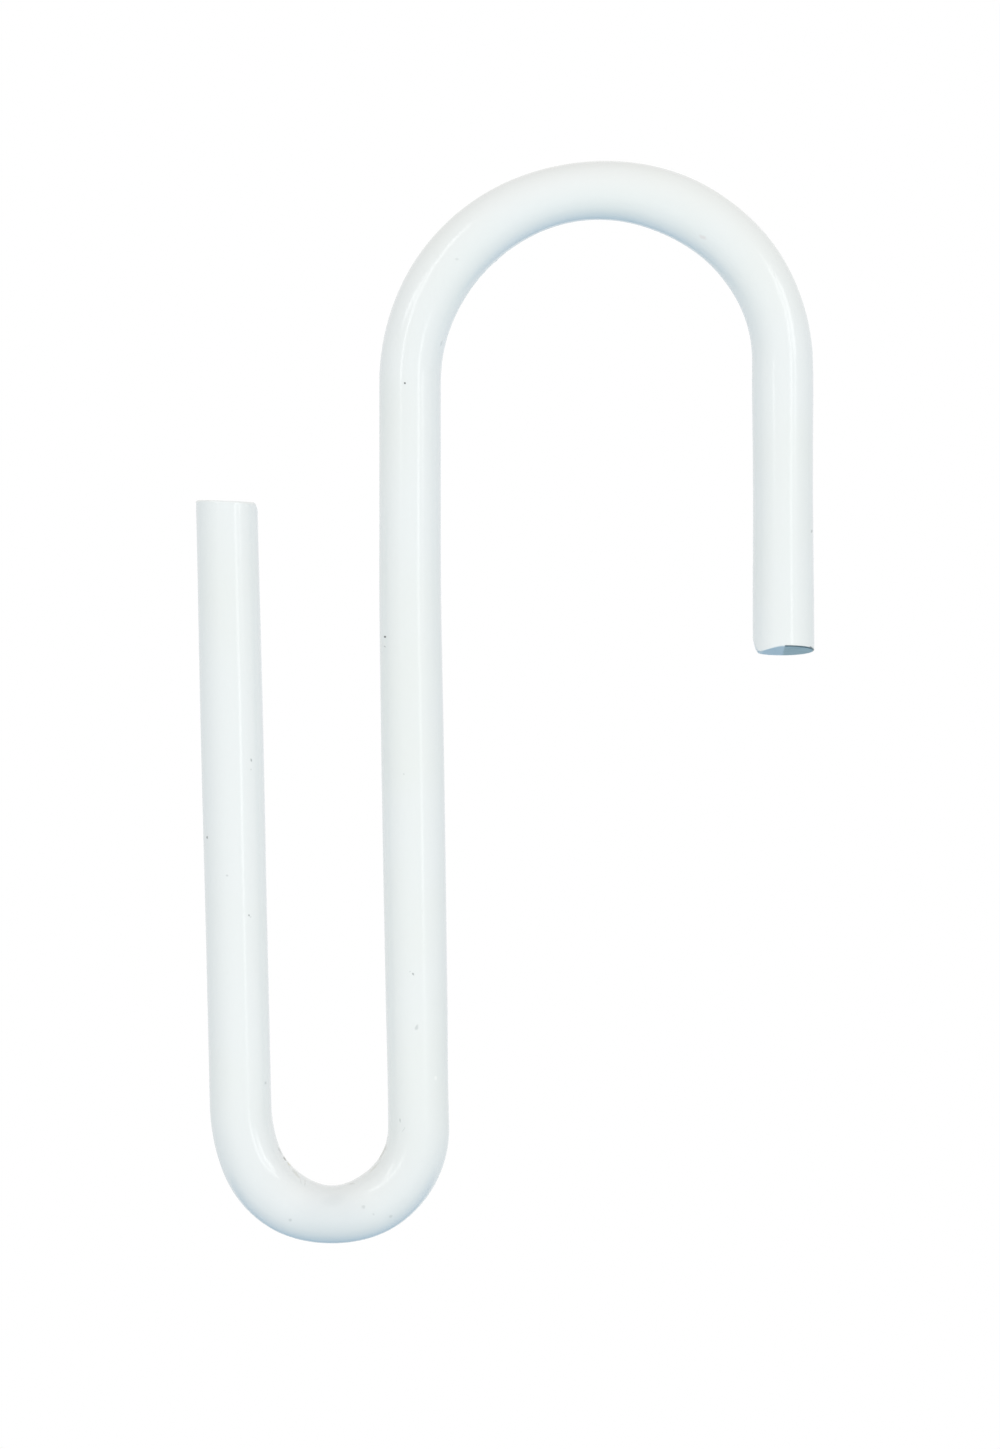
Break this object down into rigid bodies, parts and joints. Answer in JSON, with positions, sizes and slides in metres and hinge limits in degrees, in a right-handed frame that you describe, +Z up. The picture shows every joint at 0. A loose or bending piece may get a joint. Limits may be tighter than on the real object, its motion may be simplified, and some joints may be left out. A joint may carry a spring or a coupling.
{
  "type": "gridwall display hook",
  "caption": "S-shaped display hook bent from painted round steel wire: a wide upper bend hangs on a grid panel's wire, and a long narrow lower hook holds the goods.",
  "frame": {"origin": "inside of the upper bend at its crown, where the hook hangs on a grid wire", "axes": "+Z up along the hook, the wire lies in the XZ plane, the upper leg is on the +X side and the shank and lower hook are on the -X side, seen from -Y as in the picture"},
  "size_m": [0.0652, 0.0066, 0.1146],
  "materials": {
    "white_enamel": "semi-gloss white enamel on steel wire, with the shear face of the upper tip partly bare"
  },
  "bodies": {
    "root": {"wire_hook": "white_enamel"}
  },
  "joints": []
}
